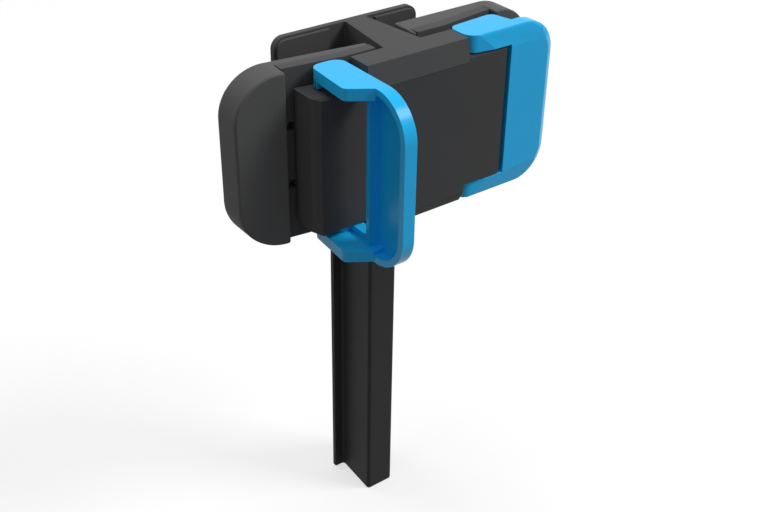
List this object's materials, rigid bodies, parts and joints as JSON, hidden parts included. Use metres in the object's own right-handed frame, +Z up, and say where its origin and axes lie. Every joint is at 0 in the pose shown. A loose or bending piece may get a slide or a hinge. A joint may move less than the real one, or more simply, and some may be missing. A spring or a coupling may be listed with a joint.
{
  "type": "laptop phone mount",
  "caption": "Clip-on bracket that holds a phone beside a laptop lid: sliding jaws closed by blue cam levers, soft pads on a back plate, and a long support leg.",
  "frame": {"origin": "centre of the leg's flat foot", "axes": "+Z up along the leg, +Y from the levers to the back plate, +X to the right seen from the levers"},
  "size_m": [0.0852, 0.0466, 0.1372],
  "materials": {
    "body_plastic": "fine moulded grain, dark grey",
    "cover_plastic": "smooth satin, dark grey",
    "leg_plastic": "fine moulded grain, near black",
    "lever_plastic": "satin, light blue",
    "grip_rubber": "soft matte, dark grey",
    "pad_rubber": "soft matte, black",
    "steel": "turned and polished",
    "spring_steel": "drawn wire"
  },
  "bodies": {
    "base": {"main_frame": "body_plastic", "front_cover": "cover_plastic", "cover_screws": "steel", "left_pivot_pin": "steel", "right_pivot_pin": "steel", "left_back_pad": "pad_rubber", "right_back_pad": "pad_rubber", "left_lower_spring": "spring_steel", "left_upper_spring": "spring_steel", "right_lower_spring": "spring_steel", "right_upper_spring": "spring_steel"},
    "left_lever": {"left_lever": "lever_plastic"},
    "right_lever": {"right_lever": "lever_plastic"},
    "left_jaw": {"left_jaw_plate": "body_plastic", "left_jaw_grip": "grip_rubber", "left_lower_guide_pin": "steel", "left_upper_guide_pin": "steel"},
    "right_jaw": {"right_jaw_plate": "body_plastic", "right_jaw_grip": "grip_rubber", "right_lower_guide_pin": "steel", "right_upper_guide_pin": "steel"},
    "leg": {"leg": "leg_plastic"}
  },
  "joints": [
    {"name": "left_lever_hinge", "type": "hinge", "parent": "base", "child": "left_lever", "pos_m": [-0.0192, -0.01438, 0.116], "axis": [0, 0, -1], "range_deg": [0, 90]},
    {"name": "right_lever_hinge", "type": "hinge", "parent": "base", "child": "right_lever", "pos_m": [0.0192, -0.01438, 0.116], "axis": [0, 0, -1], "range_deg": [0, 90]},
    {"name": "left_jaw_slide", "type": "slide", "parent": "base", "child": "left_jaw", "axis": [0, 1, 0], "range_m": [0, 0.002], "deforming": ["left_lower_spring", "left_upper_spring"]},
    {"name": "right_jaw_slide", "type": "slide", "parent": "base", "child": "right_jaw", "axis": [0, -1, 0], "range_m": [0, 0.002], "deforming": ["right_lower_spring", "right_upper_spring"]},
    {"name": "leg_slide", "type": "slide", "parent": "base", "child": "leg", "axis": [0, 0, -1], "range_m": [0, 0.02]}
  ],
  "couplings": [
    {"joint": "left_lever_hinge", "follows": "left_jaw_slide", "rad_per_m": 785.4},
    {"joint": "right_lever_hinge", "follows": "right_jaw_slide", "rad_per_m": 785.4}
  ]
}
